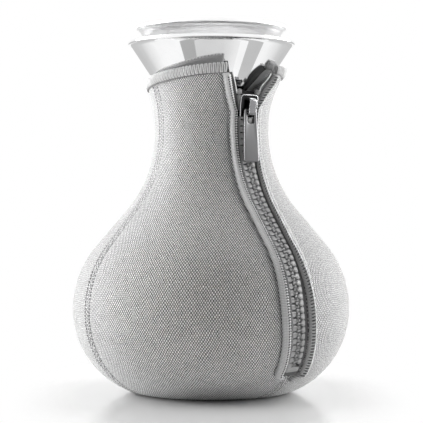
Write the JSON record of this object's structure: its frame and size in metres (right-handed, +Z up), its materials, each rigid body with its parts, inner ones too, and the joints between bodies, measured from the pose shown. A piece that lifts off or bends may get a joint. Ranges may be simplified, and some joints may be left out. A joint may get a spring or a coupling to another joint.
{
  "type": "tea maker",
  "caption": "Pear-shaped glass tea maker in a zipped woven jacket, with a flared steel pouring collar, a lift-out strainer and a flared steel lid",
  "frame": {"origin": "On the table under the middle of the base, on the flask's axis", "axes": "+Z up along the flask's axis, -Y the front as pictured, +X to the viewer's right; the zip stands 35 degrees to the right of the front"},
  "size_m": [0.159, 0.1593, 0.2119],
  "materials": {
    "weave": "coarse melange weave on foam",
    "edging": "stitched edging and tape",
    "zip_plastic": "moulded, satin",
    "zip_metal": "plated zinc, polished",
    "polished_steel": "mirror polished stainless steel",
    "glass": "clear, gloss",
    "silicone": "matt",
    "plug_plastic": "moulded, matt"
  },
  "bodies": {
    "vessel": {"glass_flask": "glass", "jacket_front": "weave", "jacket_right": "weave", "jacket_back": "weave", "jacket_left": "weave", "jacket_base": "weave", "hem_band": "edging", "zip_welt_left": "edging", "zip_welt_right": "edging", "zip_tape_left": "edging", "zip_tape_right": "edging", "zip_teeth_left": "zip_plastic", "zip_teeth_right": "zip_plastic", "zip_top_stop_left": "zip_plastic", "zip_top_stop_right": "zip_plastic", "zip_bottom_stop": "zip_plastic"},
    "collar": {"pouring_collar": "polished_steel", "collar_seal": "silicone"},
    "strainer": {"strainer_rim": "polished_steel", "strainer_basket": "polished_steel", "strainer_base": "polished_steel"},
    "lid": {"lid_cup": "polished_steel", "lid_plug": "plug_plastic", "lid_seal": "silicone", "lid_screw": "zip_metal"},
    "slider": {"zip_slider": "zip_metal"},
    "pull": {"zip_pull": "zip_metal"}
  },
  "joints": [
    {"name": "collar_lift", "type": "slide", "parent": "vessel", "child": "collar", "axis": [0, 0, 1], "range_m": [0, 0.05]},
    {"name": "strainer_lift", "type": "slide", "parent": "collar", "child": "strainer", "axis": [0, 0, 1], "range_m": [0, 0.13]},
    {"name": "lid_lift", "type": "slide", "parent": "strainer", "child": "lid", "axis": [0, 0, 1], "range_m": [0, 0.05]},
    {"name": "zip_travel", "type": "hinge", "parent": "vessel", "child": "slider", "pos_m": [0.05991, -0.08556, 0.15129], "axis": [-0.8192, -0.5736, 0], "range_deg": [0, 44], "deforming": ["zip_teeth_left", "zip_teeth_right"]},
    {"name": "pull_swing", "type": "hinge", "parent": "slider", "child": "pull", "pos_m": [0.0216, -0.03085, 0.16134], "axis": [-0.8192, -0.5736, 0], "range_deg": [0, 140]}
  ]
}
